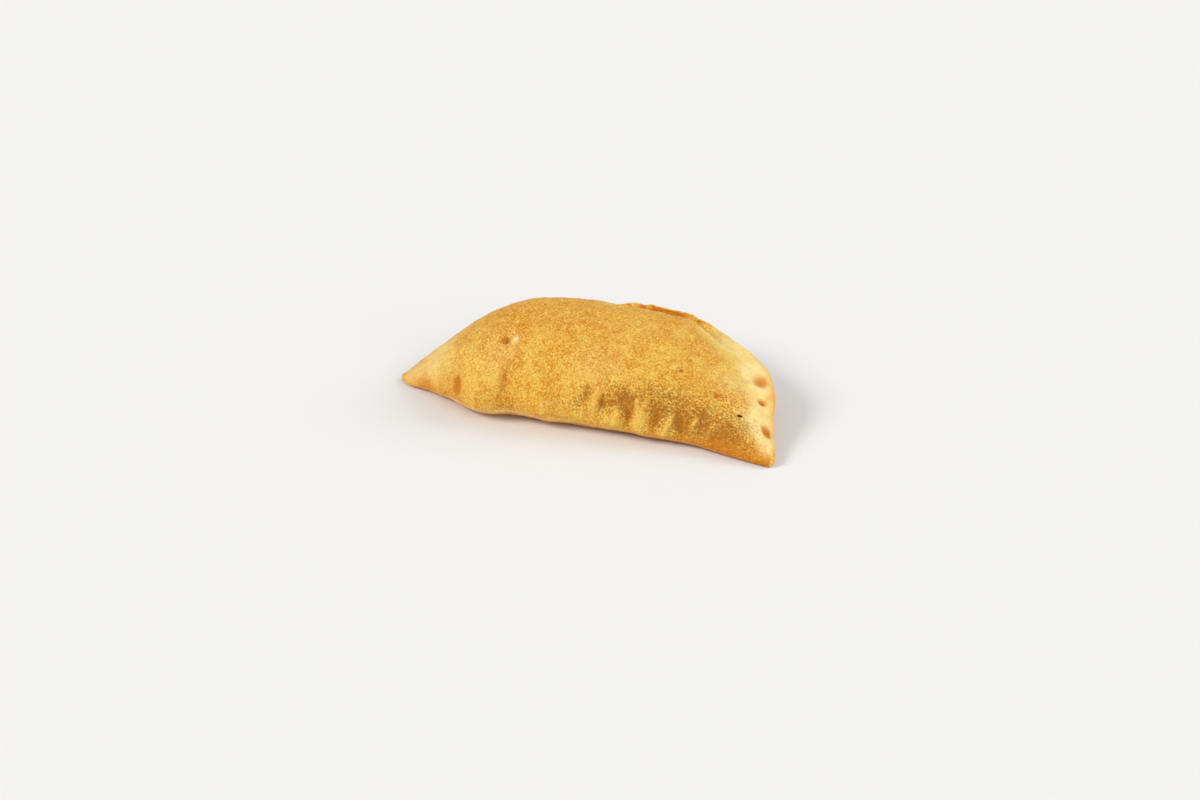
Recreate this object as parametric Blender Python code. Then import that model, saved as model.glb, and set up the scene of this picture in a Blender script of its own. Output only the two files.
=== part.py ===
"""Panzerotto: a baked half-moon turnover, lying on its flat base.

The disc of dough is folded along the front (-Y) and crimped along the curved
edge behind (+Y). X runs from the left tip to the right tip, Z is up. The crust
puffs into one dome over the fold, slopes down behind to a crimped flange at
mid height, and the flange's dents, the creases low on the fold and the flat
baked base are all part of the one closed crust.
"""

import math

import bmesh
import bpy
import numpy as np
from mathutils import Vector, noise

MM = 0.001

# ---- overall sizes, in millimetres ----------------------------------------
LENGTH = 200.0              # from tip to tip
DEPTH = 92.0                # from the line between the tips to the crimped edge
CREST = 45.5                # height of the dome
CREST_AT = -0.22            # station of the crest, -1 at the left tip, 1 at the right
CREST_ACROSS = 0.456        # its place between the fold (0) and the crimp (1)
DOME_LEFT = (2.55, 1.38)    # how the dome falls away to each tip
DOME_RIGHT = (1.70, 0.77)
BACK_POWER = 1.75           # how full the slope behind the crest is
FRONT_POWER = 2.15          # how square the dome's shoulder over the fold is

CORNER_LEFT, CORNER_RIGHT = 0.66, 0.59   # roundness of the crimped edge at each tip
FOLD_BOW = 13.0             # how far the folded edge bows forward
FOLD_LEAN = -1.8            # the bow leans towards the left tip
FOLD_POWER = 1.9
TIP_LIFT = 0.5              # the tips curl up a little from the base
TIP_LEFT = (3.6, -1.6)      # how far each tip lies off the end of the length, X and Y
TIP_RIGHT = (1.6, 3.8)

SEAM_HEIGHT = 23.0          # height of the flange at the back
SEAM_TIP = (0.5, 2.0)       # and at the left and right tips
SEAM_LEAN = 0.10
SEAM_SHAPE = (2.6, 0.665)
FLANGE_WIDTH = 10.0
FLANGE_THICK = 5.0
TIP_THICK = 2.6             # the dough pinched flat at both tips
TROUGH, BEAD = 0.9, 1.0     # the pressed valley and the rounded rim beside it
LIP = (0.520, 0.060, 2.9)   # where the rim stands up as a lip: share, half width, more
FOOT = (1.08, 1.28)         # how the back slope runs out, left and middle, then right
FOOT_FROM = (0.64, 0.74)
FOOT_FULL = (0.590, 0.085, -0.32)   # where it bulges over the groove: share, half width, less
BACK_FULL = (0.610, 0.048, 1.0)     # and where the slope is fuller: share, half width, more
SLOT = (0.484, 0.570, 0.74, 2.3)    # the groove under the lip: from, to, across, depth

BASE_FROM, BASE_TO, BASE_MID = 0.16, 0.66, 0.42   # flat base, between fold and crimp

# Swellings of the folded edge: place along X, half width, forward.
FOLD_WAVES = (
    (-92.0, 5.0, 0.8),
    (-76.0, 10.0, -4.0),
    (-60.0, 9.5, -4.3),
    (-52.0, 15.0, 3.0),
    (-37.0, 8.5, 4.2),
    (-8.0, 6.0, 2.4),
    (12.0, 12.0, 0.8),
    (42.0, 5.0, 1.6),
    (64.0, 10.0, -0.9),
)

# Lobes and notches of the crimped edge: share of its length from the left tip,
# half width as a share, outward.
LOBES = (
    (0.13, 0.030, 1.0),
    (0.19, 0.018, -1.4),
    (0.31, 0.025, 1.0),
    (0.385, 0.016, -1.5),
    (0.455, 0.014, 0.9),
    (0.70, 0.030, 0.8),
    (0.79, 0.045, 2.2),
    (0.825, 0.030, 0.6),
    (0.892, 0.018, -1.8),
    (0.930, 0.022, -1.4),
    (0.985, 0.014, 1.6),
)

# Where the flange sags between its lobes: share of the length, half width, up.
SEAM_WAVES = (
    (0.20, 0.05, -1.2),
    (0.37, 0.04, -1.4),
    (0.52, 0.05, -2.3),
    (0.44, 0.03, -0.7),
    (0.67, 0.06, -2.2),
)

# Dents pressed into the flange: share of the length, place across the flange
# (0 at the dome, 1 at the rim), half length, half width, depth, turn in degrees.
CRIMPS = (
    (0.085, 0.45, 5.0, 2.4, 1.6, 10.0),
    (0.145, 0.50, 6.5, 2.6, 2.0, -6.0),
    (0.205, 0.40, 4.0, 3.0, 1.8, 8.0),
    (0.265, 0.45, 7.5, 2.6, 2.2, 0.0),
    (0.330, 0.40, 5.0, 2.8, 1.9, -8.0),
    (0.395, 0.45, 8.0, 2.7, 2.4, 4.0),
    (0.472, 0.55, 2.4, 2.0, 1.9, 0.0),
    (0.588, 0.60, 2.0, 1.6, 2.0, 0.0),
    (0.660, 0.75, 7.0, 1.8, 0.8, 0.0),
    (0.799, 0.34, 5.4, 4.0, 2.5, 0.0),
    (0.851, 0.12, 2.6, 1.7, 2.3, 25.0),
    (0.921, 0.14, 4.2, 2.3, 2.8, 30.0),
)

# Creases and dents of the dome: centre x, y, z, lean of the long direction along X
# for each step up, half length, half width, depth (below zero it is a ridge).
CREASES = (
    (-54.0, -17.4, 14.6, -0.1, 5.0, 3.4, 2.2),
    (-47.5, -20.8, 12.0, 0.9, 5.0, 1.8, -1.1),
    (-64.0, -13.0, 10.0, 0.0, 4.0, 3.0, 0.6),
    (-30.2, -17.8, 23.5, 0.0, 7.0, 2.0, -1.1),
    (-26.4, -16.6, 23.0, 0.0, 7.5, 1.9, 1.7),
    (-27.0, -18.5, 10.5, 0.1, 4.5, 4.0, 0.8),
    (-19.0, -16.5, 12.0, 0.1, 5.0, 3.0, -0.5),
    (-9.0, -15.5, 15.0, 0.1, 6.0, 2.4, 0.7),
    (-4.0, -14.5, 15.0, 0.1, 6.0, 2.6, -0.6),
    (2.5, -12.5, 17.0, 0.2, 6.0, 2.2, 0.6),
    (12.8, -8.4, 21.0, 0.35, 5.5, 1.9, 2.3),
    (17.5, -8.2, 17.6, 0.1, 6.0, 1.7, -1.6),
    (20.9, -7.0, 18.2, 0.1, 4.0, 1.7, 1.5),
    (19.7, -5.5, 23.0, 0.0, 2.5, 2.6, -0.8),
    (24.5, -5.5, 15.0, 0.1, 4.5, 2.0, 0.6),
    (30.4, -3.5, 19.0, 0.1, 3.4, 2.2, 1.9),
    (36.4, -1.3, 20.0, 0.1, 3.4, 1.2, -1.3),
    (40.9, -0.3, 20.7, 0.0, 3.4, 1.1, -1.3),
    (43.6, 0.6, 20.5, 0.0, 3.6, 1.6, 0.9),
    (28.0, -5.9, 12.2, 0.15, 4.8, 2.1, -2.2),
    (33.2, -4.6, 12.6, 0.1, 6.5, 1.7, 2.2),
    (39.0, -3.6, 12.4, 0.1, 5.5, 2.7, -2.2),
    (45.9, -1.6, 12.9, 0.25, 7.0, 2.1, 2.5),
    (51.6, 0.2, 10.6, 0.35, 6.0, 1.25, -2.0),
    (58.4, 2.0, 12.5, -0.1, 7.0, 2.1, 2.2),
    (63.4, 4.0, 12.5, 0.4, 5.5, 1.25, -1.6),
    (67.0, 4.5, 13.0, 0.2, 6.0, 2.0, 0.7),
    (72.0, 4.5, 12.0, 0.2, 5.0, 2.2, -0.5),
    (76.5, 4.0, 11.0, 0.2, 4.5, 2.6, 0.6),
    (54.3, 11.9, 23.8, 0.2, 3.0, 2.2, -0.8),
    (58.0, 14.5, 23.5, 0.2, 3.0, 2.2, -0.6),
    (-33.2, -4.4, 38.2, 0.1, 3.4, 2.1, 3.0),
    (-28.6, -3.8, 38.2, 0.1, 3.0, 1.9, -1.3),
    (44.0, 20.9, 31.0, 0.0, 2.2, 1.8, -1.1),
    (46.7, 21.9, 30.4, 0.0, 2.2, 1.4, 1.7),
    (67.6, 19.5, 21.4, 0.0, 2.0, 1.6, 0.5),
    (93.1, 6.5, 7.4, 0.3, 4.5, 2.6, 0.9),
    (-16.0, 40.0, 42.0, 0.5, 9.0, 5.0, 0.9),
    (30.0, 50.0, 34.0, 0.4, 10.0, 5.0, 0.9),
    (-55.0, 38.0, 27.0, -0.3, 8.0, 4.0, 0.9),
)

# The finest creases are made at least this wide, and shallower in proportion.
CREASE_LEAST = 2.8

# Plump places between the dents at the right end: centre x, y, z, the way they
# run, half length, half width, height.
PILLOWS = (
    (67.4, 51.5, 20.5, (0.5, -0.8, -0.2), 5.0, 3.2, 1.4),
    (77.0, 42.0, 17.8, (0.95, 0.2, -0.2), 5.0, 2.2, 1.5),
    (83.0, 27.5, 15.2, (0.45, -0.75, -0.45), 5.5, 2.5, 1.6),
    (88.6, 20.0, 12.2, (0.6, -0.6, -0.5), 5.0, 2.2, 1.5),
    (95.4, 12.2, 7.6, (0.6, -0.6, -0.5), 4.5, 2.2, 1.4),
)

# Slow unevenness of the puffed crust: wavelength, height.
LUMPS = ((38.0, 1.1), (17.0, 0.60))

# ---- resolution -------------------------------------------------------------
STATIONS = 66
# points of a cross-section: base, under the fold, front, back slope, flange top,
# rim, flange underside, belly, base
SECTION = (3, 8, 11, 10, 6, 6, 3, 6, 3)

# ---- crust: golden baked dough ---------------------------------------------
CRUST_COLOUR = (0.74, 0.42, 0.11, 1.0)
CRUST_ROUGHNESS = 0.62


def smooth(a, b, x):
    t = np.clip((x - a) / (b - a), 0.0, 1.0)
    return t * t * (3.0 - 2.0 * t)


def bell(x, centre, half):
    return np.exp(-(((x - centre) / half) ** 2))


def tip_shift(u):
    """How far the ends of both edges are drawn aside, X and Y."""
    near = np.abs(u) ** 10
    return near * np.where(u < 0.0, TIP_LEFT[0], TIP_RIGHT[0]), near * np.where(u < 0.0, TIP_LEFT[1], TIP_RIGHT[1])


def fold_edge(u):
    """The folded edge seen from above, u from -1 at the left tip to 1."""
    x = 0.5 * LENGTH * u
    y = -FOLD_BOW * (1.0 - np.abs(u) ** FOLD_POWER) * (1.0 + FOLD_LEAN * u)
    for at, half, forward in FOLD_WAVES:
        y = y - forward * bell(x, at, half) * (1.0 - u * u) ** 0.3
    dx, dy = tip_shift(u)
    return x + dx, y + dy


def crimp_edge(u):
    """The crimped edge seen from above."""
    power = 0.5 * (CORNER_LEFT + CORNER_RIGHT) + 0.5 * u * (CORNER_RIGHT - CORNER_LEFT)
    dx, dy = tip_shift(u)
    return 0.5 * LENGTH * u + dx, DEPTH * np.maximum(1.0 - u * u, 0.0) ** power + dy


def by_length(edge, share):
    """u at this share of an edge's length."""
    u = -np.cos(np.linspace(0.0, math.pi, 2001))
    x, y = edge(u)
    s = np.concatenate([[0.0], np.cumsum(np.hypot(np.diff(x), np.diff(y)))])
    return np.interp(share, s / s[-1], u)


def stations(n):
    """Shares of the length, closer together at the tips."""
    s = np.linspace(0.0, 1.0, n + 2)[1:-1]
    return 0.5 * s + 0.25 * (1.0 - np.cos(math.pi * s))


def outlines(share):
    """Both edges at these shares, and how far the lobes push the rim out."""
    uf, ub = by_length(fold_edge, share), by_length(crimp_edge, share)
    fx, fy = fold_edge(uf)
    bx, by = crimp_edge(ub)
    gx, gy = np.gradient(bx, share), np.gradient(by, share)
    g = np.hypot(gx, gy) + 1e-9
    out = sum(o * bell(share, at, half) for at, half, o in LOBES)
    return uf, ub, fx, fy, bx, by, -gy / g * out, gx / g * out


def puff(um):
    """Share of the crest's height at each station, and half the flange's thickness."""
    v = np.clip((um - CREST_AT) / (1.0 - np.sign(um - CREST_AT) * CREST_AT), -1.0, 1.0)
    left = np.maximum(1.0 - np.abs(v) ** DOME_LEFT[0], 0.0) ** DOME_LEFT[1]
    right = np.maximum(1.0 - np.abs(v) ** DOME_RIGHT[0], 0.0) ** DOME_RIGHT[1]
    dome = np.where(v < 0.0, left, right)
    return dome, 0.5 * (TIP_THICK + (FLANGE_THICK - TIP_THICK) * smooth(0.0, 0.4, dome))


def cross_sections(share, counts):
    """Closed cross-sections between the tips, as rows of points."""
    uf, ub, fx, fy, bx, by, ox, oy = outlines(share)
    um = 0.5 * (uf + ub)
    dome, half_thick = puff(um)
    tip = SEAM_TIP[0] + (SEAM_TIP[1] - SEAM_TIP[0]) * (um + 1.0) / 2.0
    arch = np.maximum(1.0 - np.abs(ub) ** SEAM_SHAPE[0], 0.0) ** SEAM_SHAPE[1]
    seam = tip + (SEAM_HEIGHT - tip) * arch * (1.0 + SEAM_LEAN * ub)
    seam = seam + sum(o * bell(share, at, half) for at, half, o in SEAM_WAVES)
    lift = TIP_LIFT * (smooth(0.55, 0.95, -um) + smooth(0.8, 1.0, um))
    width = np.hypot(bx - fx, by - fy)
    bead = BEAD * (1.0 + LIP[2] * bell(share, LIP[0], LIP[1]))
    right = smooth(FOOT_FROM[0], FOOT_FROM[1], share)
    foot = FOOT[0] + (FOOT[1] - FOOT[0]) * right + FOOT_FULL[2] * bell(share, FOOT_FULL[0], FOOT_FULL[1])
    back = BACK_POWER + 0.5 * right + BACK_FULL[2] * bell(share, BACK_FULL[0], BACK_FULL[1])
    rows = []
    for i in range(len(share)):
        w, d, base, half = width[i], dome[i], lift[i], half_thick[i]
        flange = FLANGE_WIDTH * (1.0 - math.exp(-w / (1.7 * FLANGE_WIDTH)))
        full = float(smooth(0.0, 0.5, d))
        mid = max(min(seam[i], base + 0.75 * CREST * d + 1.0), base + half + 0.1)
        inner = 1.0 - flange / w
        upper, under = mid + half, mid - half
        top = max(base + CREST * d + TIP_THICK * (1.0 - d) ** 6, upper + 0.2)
        widest = base + 0.30 * (top - base)
        q, z = [], []

        def add(across, height):
            q.extend(across)
            z.extend(height + 0.0 * across)

        count = iter(counts)
        t = np.linspace(0.0, 1.0, next(count), endpoint=False)
        add(BASE_MID + (BASE_FROM - BASE_MID) * t, base)
        t = np.linspace(0.0, math.pi / 2, next(count), endpoint=False)
        add(BASE_FROM * (1.0 - np.sin(t)), widest - (widest - base) * np.cos(t))
        t = np.linspace(0.0, math.pi / 2, next(count), endpoint=False)
        add(
            CREST_ACROSS * (1.0 - np.cos(t) ** (2.0 / FRONT_POWER)),
            widest + (top - widest) * np.sin(t) ** (2.0 / FRONT_POWER),
        )
        t = np.linspace(0.0, 1.0, next(count), endpoint=False)
        add(
            CREST_ACROSS + (inner - CREST_ACROSS) * t,
            upper + (top - upper) * (1.0 - t ** back[i]) ** foot[i],
        )
        t = np.linspace(0.0, 1.0, next(count), endpoint=False)
        press = bead[i] * bell(t, 0.70, 0.22) - TROUGH * (1.0 - right[i]) * bell(t, 0.25, 0.22)
        add(inner + (1.0 - inner) * 0.86 * t, upper + full * press)
        t = np.linspace(0.0, math.pi, next(count))
        add(1.0 - (1.0 - inner) * 0.14 * (1.0 - np.sin(t)), mid + half * np.cos(t))
        t = np.linspace(0.0, 1.0, next(count) + 2)[1:-1]
        add(inner + (1.0 - inner) * 0.86 * (1.0 - t), under)
        t = np.linspace(0.0, 1.0, next(count), endpoint=False)
        add(inner + (BASE_TO - inner) * t, base + (under - base) * (1.0 - t) ** 1.6)
        t = np.linspace(0.0, 1.0, next(count), endpoint=False)
        add(BASE_TO + (BASE_MID - BASE_TO) * t, base)
        q, z = np.array(q), np.array(z)
        # the rim alone moves with its lobes, and at the very tips all of the dough
        near_tip = smooth(0.955, 0.992, max(share[i], 1.0 - share[i]))
        rim = smooth(0.75, 0.97, q) * (1.0 - near_tip) + near_tip
        x = fx[i] + (bx[i] - fx[i]) * q + ox[i] * rim
        y = fy[i] + (by[i] - fy[i]) * q + oy[i] * rim
        rows.append(np.stack([x, y, z], 1))
    return np.array(rows)


def normals_of(grid):
    """Outward normals of the grid of cross-sections."""
    along = np.gradient(grid, axis=0)
    around = np.roll(grid, -1, axis=1) - np.roll(grid, 1, axis=1)
    n = np.cross(along, around)
    return n / (np.linalg.norm(n, axis=2, keepdims=True) + 1e-12)


def soft_normals(grid):
    """Normals averaged with their neighbours', so dents in a hollow don't fold over."""
    n = normals_of(grid)
    n = n + np.roll(n, 1, axis=1) + np.roll(n, -1, axis=1)
    padded = np.concatenate([n[:1], n, n[-1:]])
    n = padded[:-2] + n + padded[2:]
    return n / (np.linalg.norm(n, axis=2, keepdims=True) + 1e-12)


def dent_weight(points, centre, long_way, half_long, half_wide):
    r = points - np.asarray(centre)
    a = r @ long_way
    b2 = np.maximum((r * r).sum(-1) - a * a, 0.0)
    return np.exp(-((a / half_long) ** 2) - b2 / half_wide**2)


def relief(share, grid, counts):
    """How far each point stands out of the plain form: dents and creases, then lumps."""
    uf, ub = by_length(fold_edge, share), by_length(crimp_edge, share)
    most = 1.1 * puff(0.5 * (uf + ub))[1]
    edge = np.cumsum((0,) + tuple(counts))
    column = np.arange(grid.shape[1])
    # the flange's top and the foot of the back slope, where the crimps are pressed
    on_top = smooth(edge[2] + 0.4 * counts[2], edge[3], column) * (column < edge[5] + counts[5] // 2)
    pressed = np.zeros(grid.shape[:2])
    for at, across, half_long, half_wide, depth, turn in CRIMPS:
        step = 0.002
        near = cross_sections(np.array([at - step, at, at + step]), (2, 2, 2, 2, 100, 2, 2, 2, 2))
        start = 8
        k = int(np.clip(start + across * 100, start, start + 99))
        centre = near[1, k]
        if across < 0.0:
            centre = near[1, start] + (near[1, start] - near[1, start + 30]) * -across / 0.3
        way = near[2, k] - near[0, k]
        way = Vector(way).normalized()
        c, s = math.cos(math.radians(turn)), math.sin(math.radians(turn))
        way = np.array((way.x * c - way.y * s, way.x * s + way.y * c, way.z))
        weight = dent_weight(grid, centre, way, half_long, half_wide)
        pressed += depth * weight * on_top[None, :]
    # the groove is lens-shaped: it narrows and gets shallower towards its ends
    along = smooth(SLOT[0] - 0.009, SLOT[0] + 0.009, share) * (1.0 - smooth(SLOT[1] - 0.024, SLOT[1] + 0.010, share))
    along = along[:, None]
    place = ((column - edge[4]) / counts[4])[None, :]
    reach = SLOT[2] * (0.40 + 0.60 * along)
    pressed += SLOT[3] * along * smooth(-0.20, 0.10, place) * (1.0 - smooth(reach - 0.14, reach + 0.10, place))
    out = -most[:, None] * np.tanh(pressed / most[:, None])
    for x, y, z, lean, half_long, half_wide, depth in CREASES:
        way = np.array((lean, 0.25, 1.0))
        way /= np.linalg.norm(way)
        wide = max(half_wide, CREASE_LEAST)
        out -= depth * half_wide / wide * dent_weight(grid, (x, y, z), way, half_long, wide)
    for x, y, z, way, half_long, half_wide, tall in PILLOWS:
        way = np.array(way) / np.linalg.norm(way)
        out += tall * dent_weight(grid, (x, y, z), way, half_long, half_wide) * (column < edge[5])[None, :]
    lump = np.zeros(grid.shape[:2])
    flat = grid.reshape(-1, 3)
    for wave, height in LUMPS:
        values = [noise.noise(Vector(p) / wave + Vector((3.7, 1.9, 8.2))) for p in flat.tolist()]
        lump += height * np.array(values).reshape(lump.shape)
    # the base stays flat and the thin rim stays even
    above = smooth(1.0, 9.0, grid[:, :, 2])
    thin = 1.0 - 0.6 * ((column >= edge[4]) & (column < edge[7]))
    return out * smooth(0.5, 4.0, grid[:, :, 2]), lump * above * thin


def crust_grid(count, counts):
    share = stations(count)
    grid = cross_sections(share, counts)
    out, lump = relief(share, grid, counts)
    grid = grid + soft_normals(grid) * out[:, :, None] + normals_of(grid) * lump[:, :, None]
    grid[:, :, 2] = np.maximum(grid[:, :, 2], 0.0)
    return grid


def main():
    for obj in list(bpy.data.objects):
        bpy.data.objects.remove(obj, do_unlink=True)

    grid = crust_grid(STATIONS, SECTION)
    low, high = grid.min(axis=(0, 1)), grid.max(axis=(0, 1))
    grid = grid - np.array(((low[0] + high[0]) / 2, (low[1] + high[1]) / 2, low[2]))

    bm = bmesh.new()
    rows = [[bm.verts.new(Vector(p) * MM) for p in row] for row in grid.tolist()]
    around = grid.shape[1]
    for i in range(len(rows) - 1):
        for j in range(around):
            k = (j + 1) % around
            bm.faces.new((rows[i][j], rows[i + 1][j], rows[i + 1][k], rows[i][k]))
    for row, first in ((rows[0], True), (rows[-1], False)):
        centre = Vector((0.0, 0.0, 0.0))
        for vert in row:
            centre += vert.co / around
        cap = bm.verts.new(centre)
        for j in range(around):
            a, b = row[j], row[(j + 1) % around]
            bm.faces.new((cap, a, b) if first else (cap, b, a))
    bmesh.ops.recalc_face_normals(bm, faces=bm.faces)
    bmesh.ops.triangulate(bm, faces=bm.faces)
    mesh = bpy.data.meshes.new("panzerotto")
    bm.to_mesh(mesh)
    bm.free()
    mesh.shade_smooth()

    crust = bpy.data.materials.new("baked_crust")
    crust.use_nodes = True
    shader = crust.node_tree.nodes["Principled BSDF"]
    shader.inputs["Base Color"].default_value = CRUST_COLOUR
    shader.inputs["Roughness"].default_value = CRUST_ROUGHNESS
    shader.inputs["Metallic"].default_value = 0.0
    mesh.materials.append(crust)

    panzerotto = bpy.data.objects.new("panzerotto", mesh)
    bpy.context.scene.collection.objects.link(panzerotto)


main()
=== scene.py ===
"""The looks of the panzerotto: the baked crust as one fine mesh with its blisters,
creases, crimped flange and browning, on a plain pale floor in soft light."""

import math

import bpy
import numpy as np
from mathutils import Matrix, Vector, noise


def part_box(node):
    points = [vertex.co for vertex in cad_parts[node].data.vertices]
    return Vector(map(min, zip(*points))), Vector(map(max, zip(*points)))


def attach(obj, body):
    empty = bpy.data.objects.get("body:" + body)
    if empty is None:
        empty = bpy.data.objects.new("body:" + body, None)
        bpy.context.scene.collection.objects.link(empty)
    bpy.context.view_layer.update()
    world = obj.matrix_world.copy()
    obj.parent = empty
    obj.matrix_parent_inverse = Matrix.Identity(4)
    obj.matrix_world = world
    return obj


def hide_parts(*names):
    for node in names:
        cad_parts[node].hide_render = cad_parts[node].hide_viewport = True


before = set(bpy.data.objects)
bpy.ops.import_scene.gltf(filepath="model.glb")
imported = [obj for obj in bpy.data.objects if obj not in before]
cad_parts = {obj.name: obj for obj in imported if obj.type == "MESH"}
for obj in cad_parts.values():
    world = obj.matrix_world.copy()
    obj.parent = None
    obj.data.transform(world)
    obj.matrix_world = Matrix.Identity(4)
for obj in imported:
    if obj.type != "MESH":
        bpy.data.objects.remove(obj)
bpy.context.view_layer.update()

MM = 0.001

# ============================ the form, millimetres ============================
LENGTH = 200.0              # from tip to tip
DEPTH = 92.0                # from the line between the tips to the crimped edge
CREST = 45.5                # height of the dome
CREST_AT = -0.22
CREST_ACROSS = 0.456
DOME_LEFT = (2.55, 1.38)
DOME_RIGHT = (1.70, 0.77)
BACK_POWER = 1.75
FRONT_POWER = 2.15

CORNER_LEFT, CORNER_RIGHT = 0.66, 0.59
FOLD_BOW = 13.0
FOLD_LEAN = -1.8
FOLD_POWER = 1.9
TIP_LIFT = 0.5
TIP_LEFT = (3.6, -1.6)      # how far the tips lie off the ends of the length
TIP_RIGHT = (1.6, 3.8)

SEAM_HEIGHT = 23.0
SEAM_TIP = (0.5, 2.0)
SEAM_LEAN = 0.10
SEAM_SHAPE = (2.6, 0.665)
FLANGE_WIDTH = 10.0
FLANGE_THICK = 5.0
TIP_THICK = 2.6
TROUGH, BEAD = 0.9, 1.0
LIP = (0.520, 0.060, 2.9)   # where the bead stands up as a lip: share, half width, more
FOOT = (1.08, 1.28)         # how the back slope runs out: left and middle, right end
FOOT_FROM = (0.64, 0.74)
FOOT_FULL = (0.590, 0.085, -0.32)   # where it bulges over the groove: share, half width, less
BACK_FULL = (0.610, 0.048, 1.0)     # and where the slope is fuller: share, half width, more
SLOT = (0.484, 0.570, 0.74, 2.3)    # the groove under the lip: from, to, across, depth

BASE_FROM, BASE_TO, BASE_MID = 0.16, 0.66, 0.42

# Swellings of the folded edge: place along X, half width, forward.
FOLD_WAVES = (
    (-92.0, 5.0, 0.8),
    (-76.0, 10.0, -4.0),
    (-60.0, 9.5, -4.3),
    (-52.0, 15.0, 3.0),
    (-37.0, 8.5, 4.2),
    (-8.0, 6.0, 2.4),
    (12.0, 12.0, 0.8),
    (42.0, 5.0, 1.6),
    (64.0, 10.0, -0.9),
)

# Lobes and notches of the crimped edge: share of its length, half width, outward.
LOBES = (
    (0.13, 0.030, 1.0),
    (0.19, 0.018, -1.4),
    (0.31, 0.025, 1.0),
    (0.385, 0.016, -1.5),
    (0.455, 0.014, 0.9),
    (0.70, 0.030, 0.8),
    (0.79, 0.045, 2.2),
    (0.825, 0.030, 0.6),
    (0.892, 0.018, -1.8),
    (0.930, 0.022, -1.4),
    (0.985, 0.014, 1.6),
)

SEAM_WAVES = (
    (0.20, 0.05, -1.2),
    (0.37, 0.04, -1.4),
    (0.52, 0.05, -2.3),
    (0.44, 0.03, -0.7),
    (0.67, 0.06, -2.2),
)

# Dents pressed into the flange: share of the length, place across the flange,
# half length, half width, depth, turn in degrees, how toasted and shaded the dent is (browning with painted shade in
# the dent).
CRIMPS = (
    (0.085, 0.45, 5.0, 2.4, 1.6, 10.0, 0.6),
    (0.145, 0.50, 6.5, 2.6, 2.0, -6.0, 0.7),
    (0.205, 0.40, 4.0, 3.0, 1.8, 8.0, 0.6),
    (0.265, 0.45, 7.5, 2.6, 2.2, 0.0, 0.8),
    (0.330, 0.40, 5.0, 2.8, 1.9, -8.0, 0.6),
    (0.395, 0.45, 8.0, 2.7, 2.4, 4.0, 0.9),
    (0.472, 0.55, 2.4, 2.0, 1.9, 0.0, 0.9),
    (0.588, 0.60, 2.0, 1.6, 2.0, 0.0, 1.0),
    (0.660, 0.75, 7.0, 1.8, 0.8, 0.0, 0.2),
    (0.799, 0.34, 5.4, 4.0, 2.5, 0.0, 0.62),
    (0.851, 0.12, 2.6, 1.7, 2.3, 25.0, 0.80),
    (0.921, 0.14, 4.2, 2.3, 2.8, 30.0, 0.88),
)

# Creases and dents of the fold and dome: centre x, y, z, lean, half length,
# half width, depth (below zero it is a ridge).
CREASES = (
    (-54.0, -17.4, 14.6, -0.1, 5.0, 3.4, 2.2),
    (-47.5, -20.8, 12.0, 0.9, 5.0, 1.8, -1.1),
    (-64.0, -13.0, 10.0, 0.0, 4.0, 3.0, 0.6),
    (-30.2, -17.8, 23.5, 0.0, 7.0, 2.0, -1.1),
    (-26.4, -16.6, 23.0, 0.0, 7.5, 1.9, 1.7),
    (-27.0, -18.5, 10.5, 0.1, 4.5, 4.0, 0.8),
    (-19.0, -16.5, 12.0, 0.1, 5.0, 3.0, -0.5),
    (-9.0, -15.5, 15.0, 0.1, 6.0, 2.4, 0.7),
    (-4.0, -14.5, 15.0, 0.1, 6.0, 2.6, -0.6),
    (2.5, -12.5, 17.0, 0.2, 6.0, 2.2, 0.6),
    (12.8, -8.4, 21.0, 0.35, 5.5, 1.9, 2.3),
    (17.5, -8.2, 17.6, 0.1, 6.0, 1.7, -1.6),
    (20.9, -7.0, 18.2, 0.1, 4.0, 1.7, 1.5),
    (19.7, -5.5, 23.0, 0.0, 2.5, 2.6, -0.8),
    (24.5, -5.5, 15.0, 0.1, 4.5, 2.0, 0.6),
    (30.4, -3.5, 19.0, 0.1, 3.4, 2.2, 1.9),
    (36.4, -1.3, 20.0, 0.1, 3.4, 1.2, -1.3),
    (40.9, -0.3, 20.7, 0.0, 3.4, 1.1, -1.3),
    (43.6, 0.6, 20.5, 0.0, 3.6, 1.6, 0.9),
    (28.0, -5.9, 12.2, 0.15, 4.8, 2.1, -2.2),
    (33.2, -4.6, 12.6, 0.1, 6.5, 1.7, 2.2),
    (39.0, -3.6, 12.4, 0.1, 5.5, 2.7, -2.2),
    (45.9, -1.6, 12.9, 0.25, 7.0, 2.1, 2.5),
    (51.6, 0.2, 10.6, 0.35, 6.0, 1.25, -2.0),
    (58.4, 2.0, 12.5, -0.1, 7.0, 2.1, 2.2),
    (63.4, 4.0, 12.5, 0.4, 5.5, 1.25, -1.6),
    (67.0, 4.5, 13.0, 0.2, 6.0, 2.0, 0.7),
    (72.0, 4.5, 12.0, 0.2, 5.0, 2.2, -0.5),
    (76.5, 4.0, 11.0, 0.2, 4.5, 2.6, 0.6),
    (54.3, 11.9, 23.8, 0.2, 3.0, 2.2, -0.8),
    (58.0, 14.5, 23.5, 0.2, 3.0, 2.2, -0.6),
    (-33.2, -4.4, 38.2, 0.1, 3.4, 2.1, 3.0),
    (-28.6, -3.8, 38.2, 0.1, 3.0, 1.9, -1.3),
    (44.0, 20.9, 31.0, 0.0, 2.2, 1.8, -1.1),
    (46.7, 21.9, 30.4, 0.0, 2.2, 1.4, 1.7),
    (67.6, 19.5, 21.4, 0.0, 2.0, 1.6, 0.5),
    (93.1, 6.5, 7.4, 0.3, 4.5, 2.6, 0.9),
    (-16.0, 40.0, 42.0, 0.5, 9.0, 5.0, 0.9),
    (30.0, 50.0, 34.0, 0.4, 10.0, 5.0, 0.9),
    (-55.0, 38.0, 27.0, -0.3, 8.0, 4.0, 0.9),
)

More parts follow.
